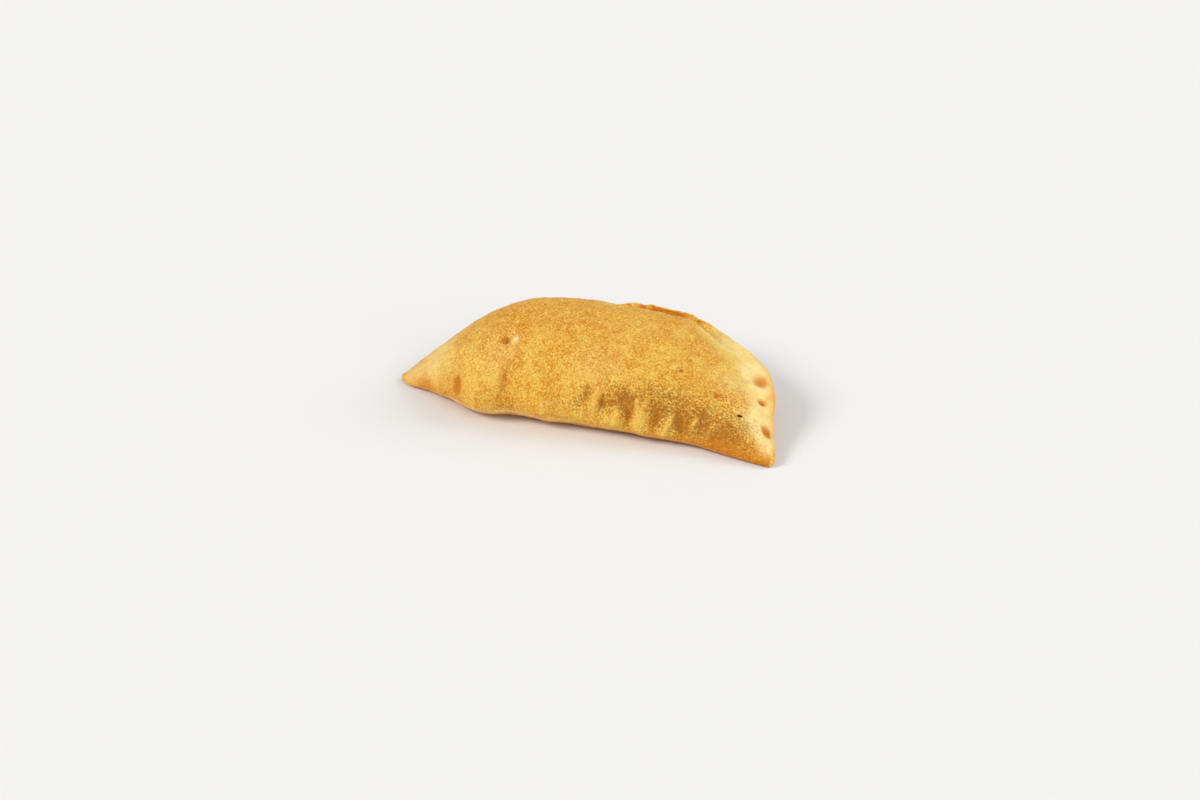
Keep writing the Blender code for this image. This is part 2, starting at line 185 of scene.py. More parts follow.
# Plump places between the dents at the right end: centre x, y, z, the way they
# run, half length, half width, height.
PILLOWS = (
    (67.4, 51.5, 20.5, (0.5, -0.8, -0.2), 5.0, 3.2, 1.4),
    (77.0, 42.0, 17.8, (0.95, 0.2, -0.2), 5.0, 2.2, 1.5),
    (83.0, 27.5, 15.2, (0.45, -0.75, -0.45), 5.5, 2.5, 1.6),
    (88.6, 20.0, 12.2, (0.6, -0.6, -0.5), 5.0, 2.2, 1.5),
    (95.4, 12.2, 7.6, (0.6, -0.6, -0.5), 4.5, 2.2, 1.4),
)

LUMPS = ((38.0, 1.1), (17.0, 0.60))
# Blisters of the crust, finer than the lumps: wavelength, height.
BLISTERS = ((8.5, 0.36), (4.6, 0.24), (2.5, 0.10))

STATIONS = 300
SECTION = (14, 44, 64, 62, 40, 28, 22, 34, 12)


def smooth(a, b, x):
    t = np.clip((x - a) / (b - a), 0.0, 1.0)
    return t * t * (3.0 - 2.0 * t)


def bell(x, centre, half):
    return np.exp(-(((x - centre) / half) ** 2))


def tip_shift(u):
    near = np.abs(u) ** 10
    return near * np.where(u < 0.0, TIP_LEFT[0], TIP_RIGHT[0]), near * np.where(u < 0.0, TIP_LEFT[1], TIP_RIGHT[1])


def fold_edge(u):
    x = 0.5 * LENGTH * u
    y = -FOLD_BOW * (1.0 - np.abs(u) ** FOLD_POWER) * (1.0 + FOLD_LEAN * u)
    for at, half, forward in FOLD_WAVES:
        y = y - forward * bell(x, at, half) * (1.0 - u * u) ** 0.3
    dx, dy = tip_shift(u)
    return x + dx, y + dy


def crimp_edge(u):
    power = 0.5 * (CORNER_LEFT + CORNER_RIGHT) + 0.5 * u * (CORNER_RIGHT - CORNER_LEFT)
    dx, dy = tip_shift(u)
    return 0.5 * LENGTH * u + dx, DEPTH * np.maximum(1.0 - u * u, 0.0) ** power + dy


def by_length(edge, share):
    u = -np.cos(np.linspace(0.0, math.pi, 2001))
    x, y = edge(u)
    s = np.concatenate([[0.0], np.cumsum(np.hypot(np.diff(x), np.diff(y)))])
    return np.interp(share, s / s[-1], u)


def stations(n):
    s = np.linspace(0.0, 1.0, n + 2)[1:-1]
    return 0.5 * s + 0.25 * (1.0 - np.cos(math.pi * s))


def outlines(share):
    uf, ub = by_length(fold_edge, share), by_length(crimp_edge, share)
    fx, fy = fold_edge(uf)
    bx, by = crimp_edge(ub)
    gx, gy = np.gradient(bx, share), np.gradient(by, share)
    g = np.hypot(gx, gy) + 1e-9
    out = sum(o * bell(share, at, half) for at, half, o in LOBES)
    return uf, ub, fx, fy, bx, by, -gy / g * out, gx / g * out


def puff(um):
    v = np.clip((um - CREST_AT) / (1.0 - np.sign(um - CREST_AT) * CREST_AT), -1.0, 1.0)
    left = np.maximum(1.0 - np.abs(v) ** DOME_LEFT[0], 0.0) ** DOME_LEFT[1]
    right = np.maximum(1.0 - np.abs(v) ** DOME_RIGHT[0], 0.0) ** DOME_RIGHT[1]
    dome = np.where(v < 0.0, left, right)
    return dome, 0.5 * (TIP_THICK + (FLANGE_THICK - TIP_THICK) * smooth(0.0, 0.4, dome))


def cross_sections(share, counts):
    """Closed cross-sections between the tips, as rows of points."""
    uf, ub, fx, fy, bx, by, ox, oy = outlines(share)
    um = 0.5 * (uf + ub)
    dome, half_thick = puff(um)
    tip = SEAM_TIP[0] + (SEAM_TIP[1] - SEAM_TIP[0]) * (um + 1.0) / 2.0
    arch = np.maximum(1.0 - np.abs(ub) ** SEAM_SHAPE[0], 0.0) ** SEAM_SHAPE[1]
    seam = tip + (SEAM_HEIGHT - tip) * arch * (1.0 + SEAM_LEAN * ub)
    seam = seam + sum(o * bell(share, at, half) for at, half, o in SEAM_WAVES)
    lift = TIP_LIFT * (smooth(0.55, 0.95, -um) + smooth(0.8, 1.0, um))
    width = np.hypot(bx - fx, by - fy)
    bead = BEAD * (1.0 + LIP[2] * bell(share, LIP[0], LIP[1]))
    right = smooth(FOOT_FROM[0], FOOT_FROM[1], share)
    foot = FOOT[0] + (FOOT[1] - FOOT[0]) * right + FOOT_FULL[2] * bell(share, FOOT_FULL[0], FOOT_FULL[1])
    back = BACK_POWER + 0.5 * right + BACK_FULL[2] * bell(share, BACK_FULL[0], BACK_FULL[1])
    rows = []
    for i in range(len(share)):
        w, d, base, half = width[i], dome[i], lift[i], half_thick[i]
        flange = FLANGE_WIDTH * (1.0 - math.exp(-w / (1.7 * FLANGE_WIDTH)))
        full = float(smooth(0.0, 0.5, d))
        mid = max(min(seam[i], base + 0.75 * CREST * d + 1.0), base + half + 0.1)
        inner = 1.0 - flange / w
        upper, under = mid + half, mid - half
        top = max(base + CREST * d + TIP_THICK * (1.0 - d) ** 6, upper + 0.2)
        widest = base + 0.30 * (top - base)
        q, z = [], []

        def add(across, height):
            q.extend(across)
            z.extend(height + 0.0 * across)

        count = iter(counts)
        t = np.linspace(0.0, 1.0, next(count), endpoint=False)
        add(BASE_MID + (BASE_FROM - BASE_MID) * t, base)
        t = np.linspace(0.0, math.pi / 2, next(count), endpoint=False)
        add(BASE_FROM * (1.0 - np.sin(t)), widest - (widest - base) * np.cos(t))
        t = np.linspace(0.0, math.pi / 2, next(count), endpoint=False)
        add(
            CREST_ACROSS * (1.0 - np.cos(t) ** (2.0 / FRONT_POWER)),
            widest + (top - widest) * np.sin(t) ** (2.0 / FRONT_POWER),
        )
        t = np.linspace(0.0, 1.0, next(count), endpoint=False)
        add(
            CREST_ACROSS + (inner - CREST_ACROSS) * t,
            upper + (top - upper) * (1.0 - t ** back[i]) ** foot[i],
        )
        t = np.linspace(0.0, 1.0, next(count), endpoint=False)
        press = bead[i] * bell(t, 0.70, 0.22) - TROUGH * (1.0 - right[i]) * bell(t, 0.25, 0.22)
        add(inner + (1.0 - inner) * 0.86 * t, upper + full * press)
        t = np.linspace(0.0, math.pi, next(count))
        add(1.0 - (1.0 - inner) * 0.14 * (1.0 - np.sin(t)), mid + half * np.cos(t))
        t = np.linspace(0.0, 1.0, next(count) + 2)[1:-1]
        add(inner + (1.0 - inner) * 0.86 * (1.0 - t), under)
        t = np.linspace(0.0, 1.0, next(count), endpoint=False)
        add(inner + (BASE_TO - inner) * t, base + (under - base) * (1.0 - t) ** 1.6)
        t = np.linspace(0.0, 1.0, next(count), endpoint=False)
        add(BASE_TO + (BASE_MID - BASE_TO) * t, base)
        q, z = np.array(q), np.array(z)
        near_tip = smooth(0.955, 0.992, max(share[i], 1.0 - share[i]))
        rim = smooth(0.75, 0.97, q) * (1.0 - near_tip) + near_tip
        x = fx[i] + (bx[i] - fx[i]) * q + ox[i] * rim
        y = fy[i] + (by[i] - fy[i]) * q + oy[i] * rim
        rows.append(np.stack([x, y, z], 1))
    return np.array(rows)


def normals_of(grid):
    along = np.gradient(grid, axis=0)
    around = np.roll(grid, -1, axis=1) - np.roll(grid, 1, axis=1)
    n = np.cross(along, around)
    return n / (np.linalg.norm(n, axis=2, keepdims=True) + 1e-12)


def soft_normals(grid, rows, columns):
    """Normals averaged over near rows and columns, so dents in a hollow don't fold over."""
    n = normals_of(grid)
    n = sum(np.roll(n, k, axis=1) for k in range(-columns, columns + 1))
    padded = np.concatenate([n[:1]] * rows + [n] + [n[-1:]] * rows)
    n = sum(padded[k:k + len(n)] for k in range(2 * rows + 1))
    return n / (np.linalg.norm(n, axis=2, keepdims=True) + 1e-12)


def dent_weight(points, centre, long_way, half_long, half_wide):
    r = points - np.asarray(centre)
    a = r @ long_way
    b2 = np.maximum((r * r).sum(-1) - a * a, 0.0)
    return np.exp(-((a / half_long) ** 2) - b2 / half_wide**2)


def wobble(points, wave, shift):
    """Smooth noise of about -1 to 1 at this wavelength."""
    values = [noise.noise(Vector(p) / wave + shift) for p in points.reshape(-1, 3).tolist()]
    return np.array(values).reshape(points.shape[:-1])


def crimp_centre(at, across):
    step = 0.002
    near = cross_sections(np.array([at - step, at, at + step]), (2, 2, 2, 2, 100, 2, 2, 2, 2))
    start = 8
    k = int(np.clip(start + across * 100, start, start + 99))
    centre = near[1, k]
    if across < 0.0:
        centre = near[1, start] + (near[1, start] - near[1, start + 30]) * -across / 0.3
    return centre, Vector(near[2, k] - near[0, k]).normalized()


# ============================ building the fine mesh ============================
share = stations(STATIONS)
plain = cross_sections(share, SECTION)
edge = np.cumsum((0,) + SECTION)
column = np.arange(plain.shape[1])
uf, ub = by_length(fold_edge, share), by_length(crimp_edge, share)
um = 0.5 * (uf + ub)
most = 1.1 * puff(um)[1]

on_top = smooth(edge[3] - 40, edge[3], column) * (column < edge[5] + SECTION[5] // 2)
pressed = np.zeros(plain.shape[:2])
toast_and_shade = np.zeros(plain.shape[:2])
for at, across, half_long, half_wide, depth, turn, tone in CRIMPS:
    centre, way = crimp_centre(at, across)
    c, s = math.cos(math.radians(turn)), math.sin(math.radians(turn))
    way = np.array((way.x * c - way.y * s, way.x * s + way.y * c, way.z))
    weight = dent_weight(plain, centre, way, half_long, half_wide) * on_top[None, :]
    pressed += depth * weight
    # toasting and painted shade in each dent
    toast_and_shade = np.maximum(toast_and_shade, tone * weight)
across = (column - edge[4]) / SECTION[4]
run = (smooth(SLOT[0] - 0.009, SLOT[0] + 0.009, share) * (1.0 - smooth(SLOT[1] - 0.024, SLOT[1] + 0.010, share)))[:, None]
reach = SLOT[2] * (0.40 + 0.60 * run)
slot = run * smooth(-0.20, 0.10, across)[None, :] * (1.0 - smooth(reach - 0.14, reach + 0.10, across[None, :]))
pressed += SLOT[3] * slot
out = -most[:, None] * np.tanh(pressed / most[:, None])
crease = np.zeros(plain.shape[:2])
for x, y, z, lean, half_long, half_wide, depth in CREASES:
    way = np.array((lean, 0.25, 1.0))
    way /= np.linalg.norm(way)
    weight = dent_weight(plain, (x, y, z), way, half_long, half_wide)
    out -= depth * weight
    crease += depth * weight
height = plain[:, :, 2]
above = smooth(1.0, 9.0, height)
thin = 1.0 - 0.6 * smooth(edge[4] - 16, edge[4] + 8, column) * (1.0 - smooth(edge[7] - 8, edge[7] + 10, column))
lump = sum(h * wobble(plain, w, Vector((3.7, 1.9, 8.2))) for w, h in LUMPS)

# how grainy the skin is: the dome is, the rim at the right and the left tip are smoother
rim_point = plain[:, (edge[5] + edge[6]) // 2]
to_rim = np.linalg.norm(plain - rim_point[:, None, :], axis=2)
rim_wide = 17.0 - 8.5 * smooth(0.86, 0.99, share)[:, None]
near_rim = 1.0 - smooth(0.45, 1.35, to_rim / rim_wide)
at_right = smooth(0.63, 0.77, share)[:, None]
raised = smooth(1.5, 6.5, plain[:, :, 2])
grain = 1.0 - 0.62 * near_rim * at_right * raised * (1.0 - 0.8 * toast_and_shade)
grain *= 1.0 - 0.40 * bell(plain[:, :, 0], -84.0, 16.0)

pillow = np.zeros(plain.shape[:2])
for x, y, z, way, half_long, half_wide, tall in PILLOWS:
    way = np.array(way) / np.linalg.norm(way)
    weight = dent_weight(plain, (x, y, z), way, half_long, half_wide) * (column < edge[5])[None, :]
    out += tall * weight
    pillow = np.maximum(pillow, weight)

fine = sum(h * wobble(plain, w, Vector((11.3, 5.1, 2.4))) for w, h in BLISTERS)
relief = lump * above * thin[None, :] + fine * (0.25 + 0.75 * grain) * smooth(0.3, 4.0, height)
grid = plain + normals_of(plain) * relief[:, :, None]
grid += soft_normals(plain, 3, 6) * (out * smooth(0.5, 4.0, height))[:, :, None]
grid[:, :, 2] = np.maximum(grid[:, :, 2], 0.0)

low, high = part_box("panzerotto")
low, high = np.array(low) / MM, np.array(high) / MM
g_low, g_high = grid.min(axis=(0, 1)), grid.max(axis=(0, 1))
shift = np.array((
    (low[0] + high[0] - g_low[0] - g_high[0]) / 2,
    (low[1] + high[1] - g_low[1] - g_high[1]) / 2,
    low[2] - g_low[2],
))
grid = grid + shift

around, along = grid.shape[1], grid.shape[0]
points = np.concatenate([
    grid.reshape(-1, 3),
    [grid[0].mean(axis=0), grid[-1].mean(axis=0)],
]) * MM
i, j = np.meshgrid(np.arange(along - 1), np.arange(around), indexing="ij")
k = (j + 1) % around
quads = np.stack([i * around + j, i * around + k, (i + 1) * around + k, (i + 1) * around + j], -1).reshape(-1, 4)
j = np.arange(around)
k = (j + 1) % around
first, last = along * around, along * around + 1
start_cap = np.stack([np.full(around, first), k, j], -1)
end_cap = np.stack([np.full(around, last), (along - 1) * around + j, (along - 1) * around + k], -1)

mesh = bpy.data.meshes.new("crust")
faces = quads.tolist() + start_cap.tolist() + end_cap.tolist()
mesh.from_pydata(points.tolist(), [], faces)
mesh.validate()
mesh.update()
# faces point out: the volume they enclose is above zero
tri = points[quads[:, [0, 1, 2]]]
turned = np.einsum("ij,ij->i", tri[:, 0], np.cross(tri[:, 1], tri[:, 2])).sum() < 0.0
if turned:
    mesh.flip_normals()
mesh.shade_smooth()


# ============================ where the crust is browned ============================
def give(name, values, ends=None):
    if ends is None:
        ends = (values[0].mean(), values[-1].mean())
    attribute = mesh.attributes.new(name, "FLOAT", "POINT")
    flat = np.concatenate([values.reshape(-1), ends]).astype(np.float32)
    attribute.data.foreach_set("value", flat)


X, Y, Z = plain[:, :, 0], plain[:, :, 1], plain[:, :, 2]
lowside = (column < edge[4])[None, :].astype(float)


def blot(x, y, z, rx, ry, rz):
    return np.exp(-(((X - x) / rx) ** 2) - ((Y - y) / ry) ** 2 - ((Z - z) / rz) ** 2)


# Browned band low on the right of the fold, and a little elsewhere, with painted shade on the dark sides of two small
# pits.
brown_and_shade = (
    0.85 * blot(58, 2, 15, 26, 22, 9)
    + 0.34 * blot(28, -1, 25, 15, 12, 5)
    + 0.30 * blot(50, 9, 24, 16, 12, 5)
    + 0.55 * blot(30, -5, 19, 14, 16, 5)
    + 0.95 * blot(80, 3, 9, 13, 14, 7)
    + 0.35 * blot(12, -9, 15, 10, 14, 7)
    + 0.40 * blot(-25, -17, 10, 7, 12, 6)
    + 0.35 * blot(-54, -18, 14, 4, 6, 4)
    # painted shade: the dark sides of two small pits on the dome
    + 0.40 * blot(-33.4, -4.6, 38.2, 2.0, 3.0, 2.6)
    + 0.80 * blot(46.9, 21.9, 30.4, 1.2, 2.2, 1.6)
)
# Orange glow on the crown and along the foot of the fold.
orange = (
    0.55 * blot(-20, 18, 45, 30, 22, 9)
    + 0.45 * blot(-48, 5, 38, 18, 22, 8)
    + 0.60 * np.clip(1.0 - Z / 9.0, 0.0, 1.0) * lowside
    + 0.45 * blot(-64, -12, 7, 14, 14, 7)
    + 0.30 * blot(20, 30, 40, 24, 20, 9)
    + 0.35 * blot(-22, 24, 45, 22, 18, 8)
    + 0.30 * blot(-15, 54, 39, 22, 12, 9)
    + 0.45 * blot(-44, -21, 15, 14, 7, 8)
    + 0.40 * blot(85, 4, 6, 13, 9, 6)
    + 0.50 * bell(to_rim, 0.0, 3.2) * at_right
)
# Pale, hardly browned dough: right flange, left tip, a few islands on the dome, with painted highlights on the lit
# sides of two small bumps, on the flange near the right end and along the dome's edge above the groove, and painted
# light in the hollow where the dome meets the flange.
pale_and_highlight = (
    0.95 * near_rim * at_right * raised * (1.0 - 0.7 * bell(to_rim, 0.0, 4.5))
    + 0.55 * blot(-76, -2, 17, 14, 18, 10)
    # painted light in the hollow where the dome meets the flange
    + 0.40 * bell(share, 0.645, 0.045)[:, None] * bell(to_rim, 5.0, 9.0)
    + 0.16 * blot(12, 2, 33, 14, 14, 8)
    + 0.90 * blot(67, 51, 20, 5, 6, 6)
    # painted highlight on the flange near the right end
    + 1.00 * blot(50, 71, 23, 9, 8, 6)
    # painted highlights on the lit sides of two small bumps on the dome
    + 0.72 * blot(-28.6, -3.6, 38.2, 1.4, 2.8, 2.2)
    + 0.62 * blot(43.8, 20.8, 31, 1.2, 2.4, 1.7)
    + 0.60 * pillow
    + 0.50 * blot(69, 34, 22, 9, 9, 7)
    + 0.60 * blot(84, 20, 15, 7, 6, 5)
    + 0.70 * blot(90, 16, 11, 6, 6, 5)
    + 0.35 * blot(96, 10, 7, 4, 6, 4)
    + 0.22 * blot(-33, -9, 33, 10, 10, 9)
    + 0.42 * blot(-88, -4, 6, 8, 8, 5)
    # painted highlight along the dome's edge above the groove
    + 0.40 * bell(share, 0.525, 0.060)[:, None] * bell(column, edge[4] - 3.0, 5.0)[None, :]
    - 0.35 * blot(54, 59, 24, 10, 9, 6)
    - 0.40 * blot(85, 42, 15.5, 5, 8, 5)
)
under = ((column < edge[1]) | (column >= edge[7])).astype(float)[None, :] * np.ones(X.shape)
belly = ((column >= edge[6]) & (column < edge[8])).astype(float)[None, :] * np.ones(X.shape)
# painted shade in the creases and painted highlight on the ridges, taken from the crease depths
crease_shade = np.clip(crease, 0.0, 2.0) / 2.0
ridge_highlight = np.clip(-crease, 0.0, 1.5) / 1.5

foot_tone = np.clip(1.2 - Z / 7.5, 0.0, 1.0) * lowside * (0.48 + 0.36 * smooth(-15.0, 60.0, X)) * (1.0 - 0.7 * bell(X, -94.0, 9.0))
# painted shade in the visible part of the groove under the lip
slot_shade = slot * (1.0 - smooth(reach - 0.24, reach, across[None, :]))
# browning plus painted shade in the creases and in the groove under the lip; the ridges are kept lighter
give("brown_and_shade", np.clip((brown_and_shade + 0.40 * crease_shade) * (1.0 - 0.75 * ridge_highlight) + 0.80 * slot_shade, 0.0, 1.0))
give("orange", np.clip(orange, 0.0, 1.0))
give("pale_and_highlight", np.clip(pale_and_highlight, 0.0, 1.0))
give("ridge", np.clip(ridge_highlight, 0.0, 1.0))
# a paler band where the fold turns under: partly pale dough, partly a painted light line along the lower outline
turn_under = bell(column, edge[1] + 0.64 * SECTION[1], 2.6)[None, :] * (1.0 - 0.5 * smooth(-40.0, 10.0, X))
give("edge", turn_under * smooth(0.03, 0.10, np.minimum(share, 1.0 - share))[:, None])
# toasting plus painted shade in the crimp dents, the creases and the groove under the lip
give("toast_and_shade", np.clip(toast_and_shade + 0.40 * crease_shade + 0.70 * slot + foot_tone + 0.45 * blot(-54, -18, 14, 5, 6, 4) + 0.30 * blot(-50, -19, 14, 10, 7, 9) + 0.28 * blot(80, 4, 8, 13, 9, 6) + 0.34 * blot(-76, -9.5, 6.5, 9, 5, 4), 0.0, 1.0))
# painted light on the back-right slope, which faces away from the key light
give("painted_light", np.clip(0.95 * blot(38, 67, 27, 17, 10, 6) + 0.75 * blot(56, 57, 24, 11, 9, 5), 0.0, 1.0))
give("dimple", np.clip(toast_and_shade * at_right, 0.0, 1.0))
give("grain", np.clip(grain, 0.0, 1.0))
give("base", np.clip(under, 0.0, 1.0), (0.0, 0.0))
give("belly", np.clip(belly, 0.0, 1.0), (0.0, 0.0))

crust = bpy.data.objects.new("crust", mesh)
bpy.context.scene.collection.objects.link(crust)


# ============================ the crust's material ============================
def linear(r, g, b):
    """A colour given in 0 to 255 screen values, as the shader wants it."""
    def one(c):
        c /= 255.0
        return c / 12.92 if c <= 0.04045 else ((c + 0.055) / 1.055) ** 2.4
    return (one(r), one(g), one(b), 1.0)


class Nodes:
    def __init__(self, material):
        material.use_nodes = True
        self.tree = material.node_tree
        self.tree.nodes.clear()
        self.count = 0

    def new(self, kind, **sockets):
        node = self.tree.nodes.new(kind)
        node.location = (200 * (self.count % 12), -260 * (self.count // 12))
        self.count += 1
        for name, value in sockets.items():
            self.put(node.inputs[name.replace("_", " ")], value)
        return node

    def put(self, socket, value):
        if isinstance(value, bpy.types.NodeSocket):
            self.tree.links.new(value, socket)
        else:
            socket.default_value = value

    def attribute(self, name):
        node = self.new("ShaderNodeAttribute")
        node.attribute_name = name
        return node.outputs["Fac"]

    def math(self, operation, a, b=0.0, c=0.0, clamp=False):
        node = self.new("ShaderNodeMath")
        node.operation = operation
        node.use_clamp = clamp
        for socket, value in zip(node.inputs, (a, b, c)):
            self.put(socket, value)
        return node.outputs[0]

    def ramp(self, value, low, high, to_low=0.0, to_high=1.0, kind="SMOOTHSTEP"):
        node = self.new("ShaderNodeMapRange")
        node.interpolation_type = kind
        for socket, v in zip(node.inputs[:5], (value, low, high, to_low, to_high)):
            self.put(socket, v)
        return node.outputs[0]

    def noise(self, vector, scale, detail=2.0, rough=0.5, distort=0.0):
        node = self.new("ShaderNodeTexNoise")
        self.put(node.inputs["Vector"], vector)
        self.put(node.inputs["Scale"], scale)
        self.put(node.inputs["Detail"], detail)
        self.put(node.inputs["Roughness"], rough)
        self.put(node.inputs["Distortion"], distort)
        return node.outputs["Fac"]

    def cells(self, vector, scale, feature="F1", random=1.0, smoothness=None):
        node = self.new("ShaderNodeTexVoronoi")
        node.feature = feature
        self.put(node.inputs["Vector"], vector)
        self.put(node.inputs["Scale"], scale)
        self.put(node.inputs["Randomness"], random)
        if smoothness is not None:
            self.put(node.inputs["Smoothness"], smoothness)
        return node.outputs["Distance"]

    def mix(self, factor, a, b):
        node = self.new("ShaderNodeMix")
        node.data_type = "RGBA"
        self.put(node.inputs[0], factor)
        self.put(node.inputs[6], a)
        self.put(node.inputs[7], b)
        return node.outputs[2]

    def spot(self, vector, centre, radius, soft=0.4):
        """1 inside a small ball around a point of the surface, in metres."""
        node = self.new("ShaderNodeVectorMath")
        node.operation = "DISTANCE"
        self.put(node.inputs[0], vector)
        node.inputs[1].default_value = centre
        return self.ramp(node.outputs["Value"], radius * (1.0 - soft), radius, 1.0, 0.0)


GOLD = linear(226, 156, 42)
LIGHT = linear(255, 219, 115)
DARK = linear(192, 119, 14)
ORANGE = linear(219, 137, 30)
YELLOW = linear(238, 192, 80)
BROWN = linear(160, 96, 22)
PALE = linear(255, 234, 164)
TOAST = linear(200, 118, 26)
RIDGE_HIGHLIGHT = linear(250, 208, 104)
PEACH = linear(255, 220, 168)
PAINTED_LIGHT_YELLOW = linear(255, 224, 112)
HIGHLIGHT_WHITE = linear(255, 246, 218)
AMBER = linear(226, 138, 34)
PINHOLE_SHADE = linear(30, 12, 2)
BASE_BROWN = linear(176, 112, 50)
BASE_DARK = linear(120, 68, 28)
BELLY = linear(232, 182, 100)

material = bpy.data.materials.new("baked_crust")
n = Nodes(material)
where = n.new("ShaderNodeTexCoord").outputs["Object"]
brown_and_shade_a, orange_a, pale_and_highlight_a = n.attribute("brown_and_shade"), n.attribute("orange"), n.attribute("pale_and_highlight")
dimple_a, painted_light_a, ridge_highlight_a, edge_a, toast_and_shade_a, grain_a, base_a, belly_a = n.attribute("dimple"), n.attribute("painted_light"), n.attribute("ridge"), n.attribute("edge"), n.attribute("toast_and_shade"), n.attribute("grain"), n.attribute("base"), n.attribute("belly")

# broad mottling, 10 to 30 mm
patch = n.noise(where, 60.0, 3.0, 0.6)
patch_b = n.noise(where, 130.0, 3.0, 0.6)
colour = n.mix(n.ramp(patch, 0.40, 0.60), GOLD, YELLOW)
colour = n.mix(n.math("MULTIPLY", n.ramp(patch_b, 0.48, 0.66), 0.60), colour, ORANGE)
colour = n.mix(n.math("MULTIPLY", orange_a, 0.75), colour, ORANGE)
# painted light: brighter yellow on the back-right slope
colour = n.mix(n.math("MULTIPLY", painted_light_a, 0.75), colour, PAINTED_LIGHT_YELLOW)
# pale dough, and the painted highlights and painted light of the same mask
colour = n.mix(n.math("MULTIPLY", pale_and_highlight_a, 0.9), colour, PALE)
colour = n.mix(belly_a, colour, n.mix(n.ramp(patch_b, 0.35, 0.7), BELLY, GOLD))

mid = n.noise(where, 270.0, 2.0, 0.5)
colour = n.mix(n.math("MULTIPLY", n.ramp(mid, 0.50, 0.68, 0.0, 0.30), grain_a), colour, LIGHT)
colour = n.mix(n.math("MULTIPLY", n.ramp(mid, 0.50, 0.34, 0.0, 0.26), grain_a), colour, DARK)

# the fine grain of the skin: light crumbs and dark pits, 1 to 2 mm
speck = n.noise(where, 1050.0, 2.0, 0.6, 0.0)
speck_b = n.noise(where, 2000.0, 1.0, 0.5, 0.0)
crumbs = n.math("ADD", n.math("MULTIPLY", speck, 0.65), n.math("MULTIPLY", speck_b, 0.35))
light_grain = n.math("MULTIPLY", n.ramp(crumbs, 0.47, 0.63), grain_a)
dark_grain = n.math("MULTIPLY", n.ramp(crumbs, 0.51, 0.36), grain_a)
colour = n.mix(n.math("MULTIPLY", light_grain, 0.75), colour, LIGHT)
colour = n.mix(n.math("MULTIPLY", dark_grain, n.ramp(n.math("MAXIMUM", pale_and_highlight_a, painted_light_a), 0.1, 0.8, 0.62, 0.22)), colour, DARK)

# browning comes in specks that join up where it is strongest
brown_noise = n.math("ADD", n.math("MULTIPLY", speck, 0.6), n.math("MULTIPLY", patch_b, 0.4))
brown_mask = n.ramp(n.math("ADD", brown_and_shade_a, n.math("MULTIPLY", n.math("SUBTRACT", 0.5, brown_noise), 3.0)), 0.12, 1.15)
brown_mask = n.math("MULTIPLY", brown_mask, n.ramp(brown_and_shade_a, 0.02, 0.25))
# browning, which also carries the painted shade of the pits, creases and groove
colour = n.mix(n.math("MULTIPLY", brown_mask, 0.85), colour, BROWN)
toasted = n.mix(n.ramp(toast_and_shade_a, 0.3, 0.9), ORANGE, TOAST)
toasted = n.mix(n.math("MULTIPLY", light_grain, 0.70), toasted, GOLD)
toasted = n.mix(n.math("MULTIPLY", dark_grain, 0.35), toasted, BROWN)
# toasted colour, which also paints the shade in the dents, creases and groove
colour = n.mix(n.ramp(toast_and_shade_a, 0.05, 0.75, 0.0, 0.9), colour, toasted)
# amber in the dents at the right end: toasting with painted shade
colour = n.mix(n.ramp(dimple_a, 0.12, 0.75, 0.0, 0.50), colour, AMBER)
# painted highlight on the ridges of the fold
colour = n.mix(n.math("MULTIPLY", ridge_highlight_a, 0.42), colour, RIDGE_HIGHLIGHT)
# peach band where the fold turns under, partly painted rim light
colour = n.mix(n.math("MULTIPLY", edge_a, 0.62), colour, PEACH)

# the flat baked base
base_noise = n.noise(where, 180.0, 4.0, 0.6)
base_colour = n.mix(n.ramp(base_noise, 0.42, 0.66), BASE_BROWN, BASE_DARK)
base_colour = n.mix(n.math("MULTIPLY", light_grain, 0.35), base_colour, GOLD)
colour = n.mix(base_a, colour, base_colour)

# small marks: a reddish spot, a painted highlight on the lit side of a small bump on the dome, and a pinhole painted
# as a dark spot (painted shade of a hole the mesh doesn't have) in a brown ring
shift_m = Vector(shift.tolist()) * MM
reddish = n.spot(where, Vector((0.0668, 0.0195, 0.0218)) + shift_m, 0.0032, 0.9)
colour = n.mix(n.math("MULTIPLY", reddish, 0.7), colour, linear(190, 92, 28))
bump_highlight = n.spot(where, Vector((-0.0282, -0.0036, 0.0384)) + shift_m, 0.0023, 0.9)
colour = n.mix(n.math("MULTIPLY", bump_highlight, 0.33), colour, HIGHLIGHT_WHITE)
for aside in (-0.0006, 0.0, 0.0006):
    place = Vector((0.0803 + 0.87 * aside, 0.0174 + 0.49 * aside, 0.0157)) + shift_m
    colour = n.mix(n.math("MULTIPLY", n.spot(where, place, 0.0018, 0.9), 0.5), colour, BROWN)
    # painted shade: the dark inside the pinhole
    colour = n.mix(n.spot(where, place, 0.0010, 0.40), colour, PINHOLE_SHADE)

bump_height = n.math("ADD", n.math("MULTIPLY", crumbs, grain_a), n.math("MULTIPLY", n.noise(where, 330.0, 2.0, 0.5), 0.6))
bump = n.new("ShaderNodeBump", Strength=0.7, Distance=0.0011, Height=bump_height)

roughness = n.ramp(n.math("ADD", crumbs, n.math("MULTIPLY", pale_and_highlight_a, -0.25)), 0.1, 0.8, 0.42, 0.72, "LINEAR")
shader = n.new("ShaderNodeBsdfPrincipled")
n.put(shader.inputs["Base Color"], colour)
n.put(shader.inputs["Roughness"], roughness)
n.put(shader.inputs["Normal"], bump.outputs["Normal"])
shader.inputs["Specular IOR Level"].default_value = 0.12
shader.inputs["Subsurface Weight"].default_value = 0.12
shader.inputs["Subsurface Radius"].default_value = (1.0, 0.5, 0.2)
shader.inputs["Subsurface Scale"].default_value = 0.003
surface = n.new("ShaderNodeOutputMaterial")
n.put(surface.inputs["Surface"], shader.outputs["BSDF"])
mesh.materials.append(material)

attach(crust, "root")
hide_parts("panzerotto")

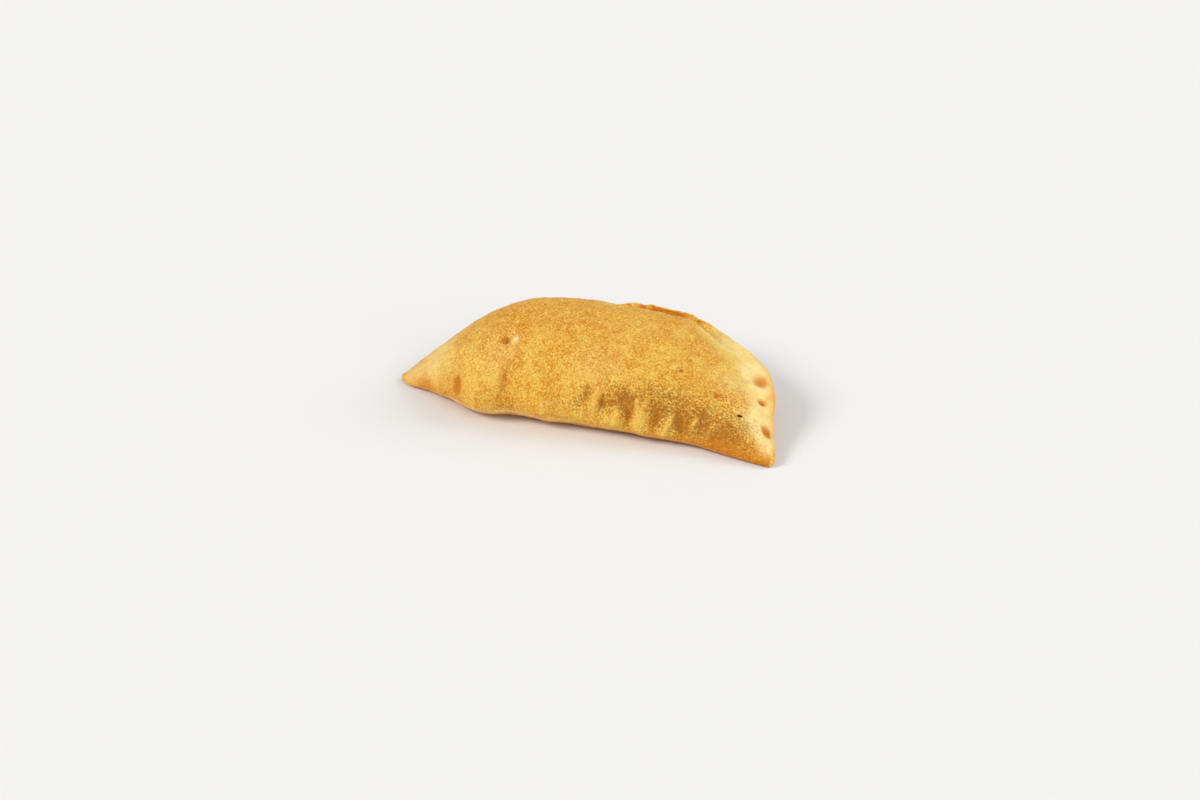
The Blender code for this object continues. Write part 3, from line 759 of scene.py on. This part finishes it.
# ============================ floor, light and camera ============================
floor_mesh = bpy.data.meshes.new("floor")
R = 25.0
floor_mesh.from_pydata([(-R, -R, 0.0), (R, -R, 0.0), (R, R, 0.0), (-R, R, 0.0)], [], [(0, 1, 2, 3)])
floor = bpy.data.objects.new("floor", floor_mesh)
bpy.context.scene.collection.objects.link(floor)
floor_material = bpy.data.materials.new("pale_floor")
floor_material.use_nodes = True
floor_shader = floor_material.node_tree.nodes["Principled BSDF"]
floor_shader.inputs["Base Color"].default_value = (0.88, 0.88, 0.875, 1.0)
floor_shader.inputs["Roughness"].default_value = 0.9
floor_shader.inputs["Specular IOR Level"].default_value = 0.1
floor_mesh.materials.append(floor_material)

world = bpy.data.worlds.new("studio")
bpy.context.scene.world = world
world.use_nodes = True
sky = world.node_tree
background = sky.nodes["Background"]
direction = sky.nodes.new("ShaderNodeTexCoord")
parts = sky.nodes.new("ShaderNodeSeparateXYZ")
fade = sky.nodes.new("ShaderNodeMapRange")
fade.interpolation_type = "SMOOTHSTEP"
for socket, value in zip(fade.inputs[1:5], (0.0, 0.75, 0.74, 0.36)):
    socket.default_value = value
sky.links.new(direction.outputs["Generated"], parts.inputs[0])
sky.links.new(parts.outputs["Z"], fade.inputs[0])
sky.links.new(fade.outputs[0], background.inputs["Strength"])
background.inputs["Color"].default_value = (1.0, 1.0, 1.0, 1.0)


def sun(name, towards, strength, spread, colour=(1.0, 1.0, 1.0)):
    """A soft far light that shines from this direction."""
    data = bpy.data.lights.new(name, "SUN")
    data.energy = strength
    data.angle = math.radians(spread)
    data.color = colour
    obj = bpy.data.objects.new(name, data)
    obj.rotation_euler = Vector(towards).to_track_quat("Z", "Y").to_euler()
    bpy.context.scene.collection.objects.link(obj)


sun("key", (-0.62, -0.62, 0.62), 1.55, 24.0, (1.0, 0.985, 0.96))
sun("fill", (0.85, -0.30, 0.55), 0.70, 40.0)
sun("back", (0.60, 0.55, 0.60), 1.10, 40.0, (1.0, 0.99, 0.97))

AZIMUTH, ELEVATION = 29.7, 26.0
a, e = math.radians(AZIMUTH), math.radians(ELEVATION)
back = Vector((math.sin(a) * math.cos(e), -math.cos(a) * math.cos(e), math.sin(e)))
camera_data = bpy.data.cameras.new("camera")
camera_data.lens = 63.0
camera_data.sensor_width = 36.0
camera_data.clip_start = 0.01
camera = bpy.data.objects.new("camera", camera_data)
camera.location = Vector((0.4547, -0.7697, 0.4477)) + shift_m
camera.rotation_euler = back.to_track_quat("Z", "Y").to_euler()
bpy.context.scene.collection.objects.link(camera)
bpy.context.scene.camera = camera

bpy.context.scene.view_settings.view_transform = "Standard"
bpy.context.scene.view_settings.look = "None"
